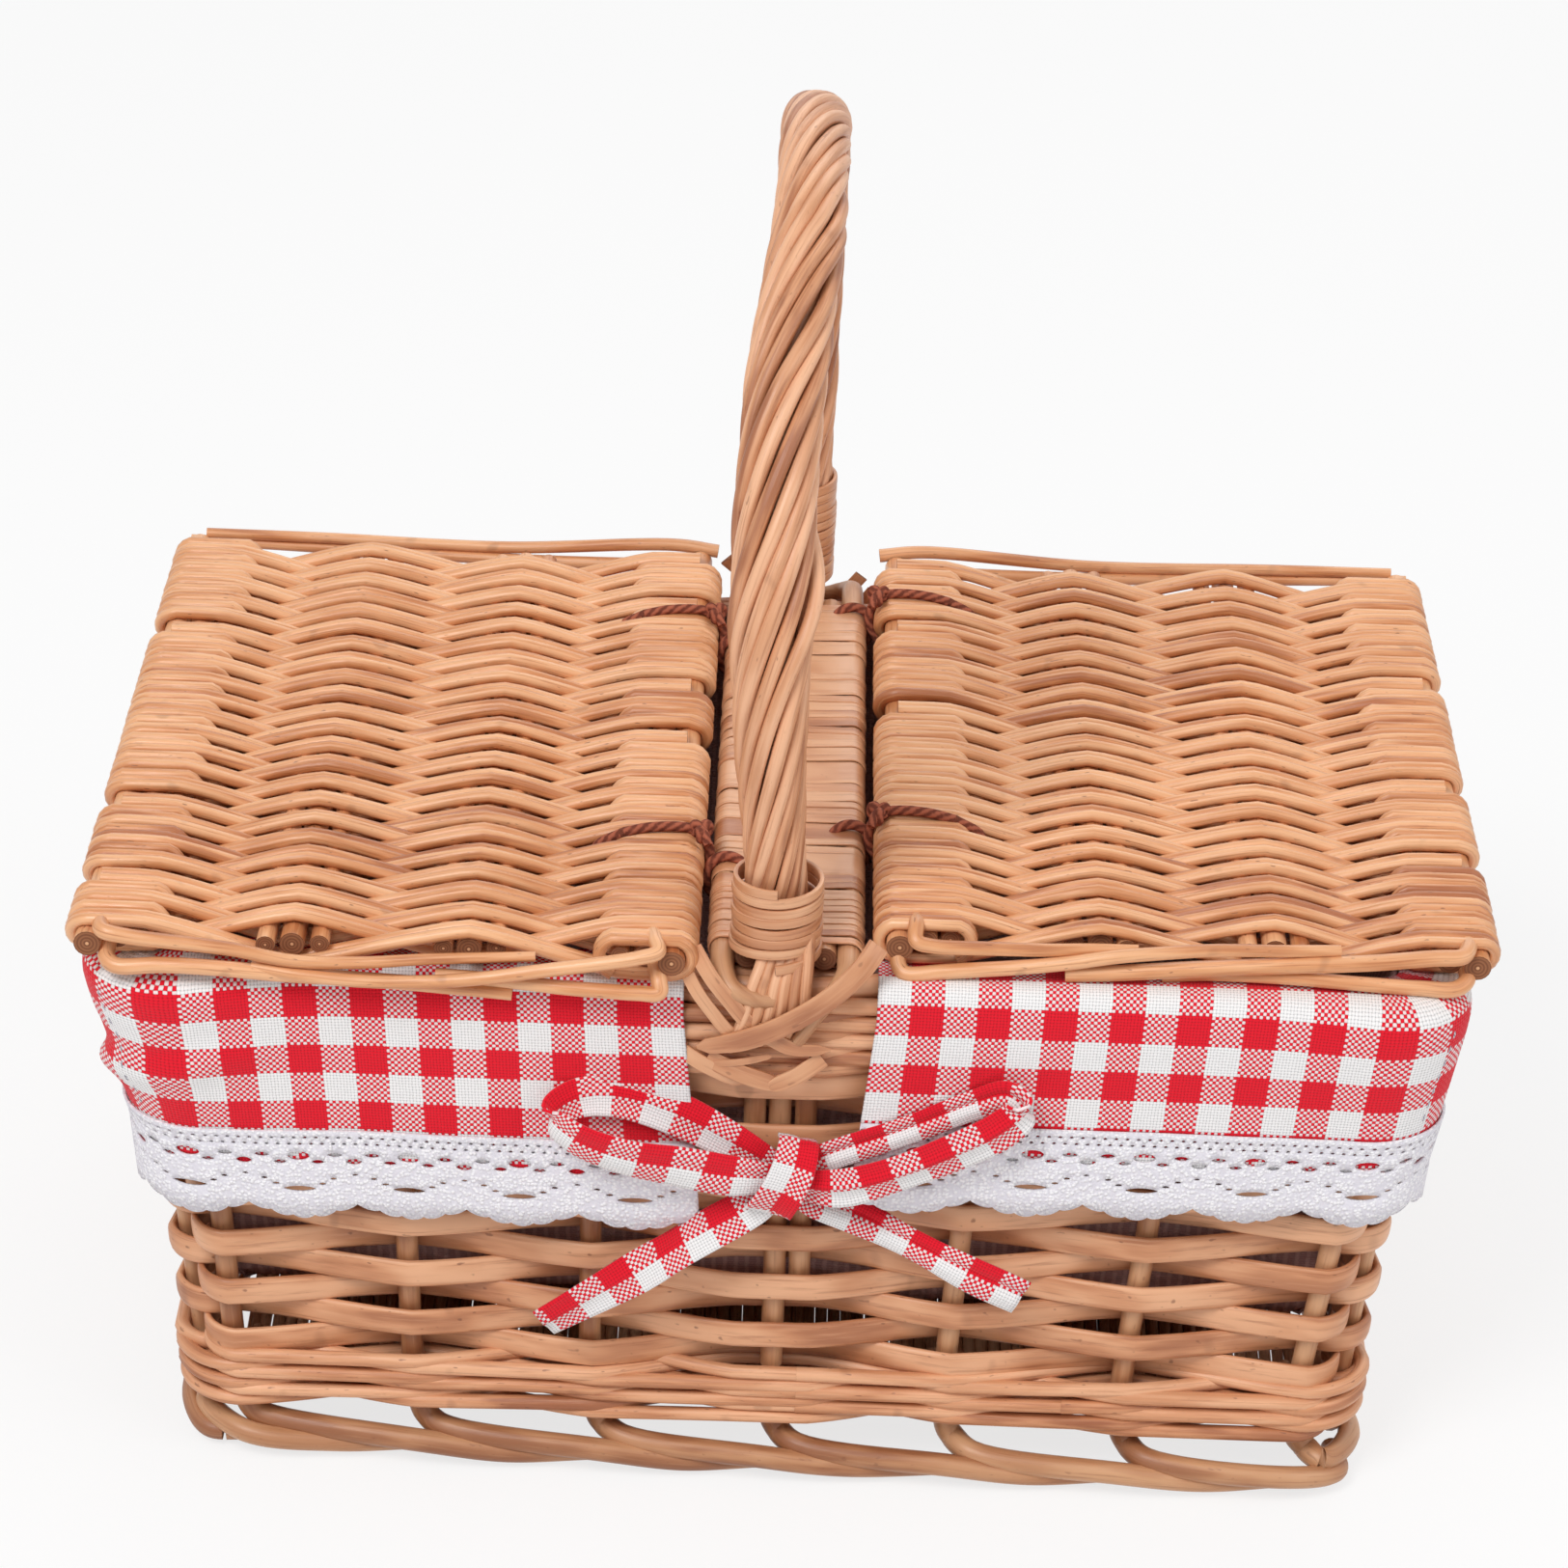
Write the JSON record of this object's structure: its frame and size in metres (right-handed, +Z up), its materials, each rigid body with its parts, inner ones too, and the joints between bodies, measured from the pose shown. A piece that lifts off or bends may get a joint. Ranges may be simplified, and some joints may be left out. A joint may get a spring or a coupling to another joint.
{
  "type": "lidded straw basket",
  "caption": "Rectangular woven willow picnic basket with two hinged lids, a fixed arched handle of twisted rods and a cloth liner with gingham flaps, lace and bows.",
  "frame": {"origin": "middle of the basket's foot, on the surface it stands on", "axes": "+Z up, +X to the right along the basket's length, -Y to the front; the two lids turn about axes along Y"},
  "size_m": [0.3996, 0.2774, 0.3788],
  "materials": {
    "willow": "satin honey-tan willow rods and split bands",
    "pale_willow": "paler peeled willow stakes",
    "skein": "satin flat skein of split willow",
    "cord": "matt red-brown cord",
    "gingham": "matt red and white woven gingham cotton",
    "lace": "matt white cotton crochet lace",
    "liner_cloth": "matt dull mauve-brown ribbed cotton"
  },
  "bodies": {
    "basket": {"back_bow": "gingham", "back_collar": "skein", "back_cross_skein": "skein", "base_stick_back": "pale_willow", "base_stick_front": "pale_willow", "base_stick_middle": "pale_willow", "base_weave": "willow", "bridge_sticks_left": "willow", "bridge_sticks_right": "willow", "bridge_weave": "skein", "foot_wale": "willow", "front_bow": "gingham", "front_collar": "skein", "front_cross_skein": "skein", "handle_core": "willow", "handle_rod_1": "willow", "handle_rod_2": "willow", "handle_rod_3": "willow", "handle_rod_4": "willow", "handle_rod_5": "willow", "handle_rod_6": "willow", "handle_rod_7": "willow", "handle_rod_8": "willow", "left_bridge_tie_back": "cord", "left_bridge_tie_front": "cord", "left_flap": "gingham", "left_lace": "lace", "liner_bag": "liner_cloth", "right_bridge_tie_back": "cord", "right_bridge_tie_front": "cord", "right_flap": "gingham", "right_lace": "lace", "rim_border": "willow", "stake_frame": "pale_willow", "top_wale": "willow", "wall_band_1": "willow", "wall_band_2": "willow", "wall_band_3": "willow", "wall_band_4": "willow", "wall_band_5": "willow", "wall_band_6": "willow"},
    "left_lid": {"left_lid_back_rods": "willow", "left_lid_front_rods": "willow", "left_lid_sticks_1": "willow", "left_lid_sticks_2": "willow", "left_lid_sticks_3": "willow", "left_lid_sticks_4": "willow", "left_lid_tie_back": "cord", "left_lid_tie_front": "cord", "left_lid_weave": "willow"},
    "right_lid": {"right_lid_back_rods": "willow", "right_lid_front_rods": "willow", "right_lid_sticks_1": "willow", "right_lid_sticks_2": "willow", "right_lid_sticks_3": "willow", "right_lid_sticks_4": "willow", "right_lid_tie_back": "cord", "right_lid_tie_front": "cord", "right_lid_weave": "willow"}
  },
  "joints": [
    {"name": "left_lid_hinge", "type": "hinge", "parent": "basket", "child": "left_lid", "pos_m": [-0.02425, 0, 0.1786], "axis": [0, 1, 0], "range_deg": [0, 90]},
    {"name": "right_lid_hinge", "type": "hinge", "parent": "basket", "child": "right_lid", "pos_m": [0.02425, 0, 0.1786], "axis": [0, -1, 0], "range_deg": [0, 90]}
  ]
}
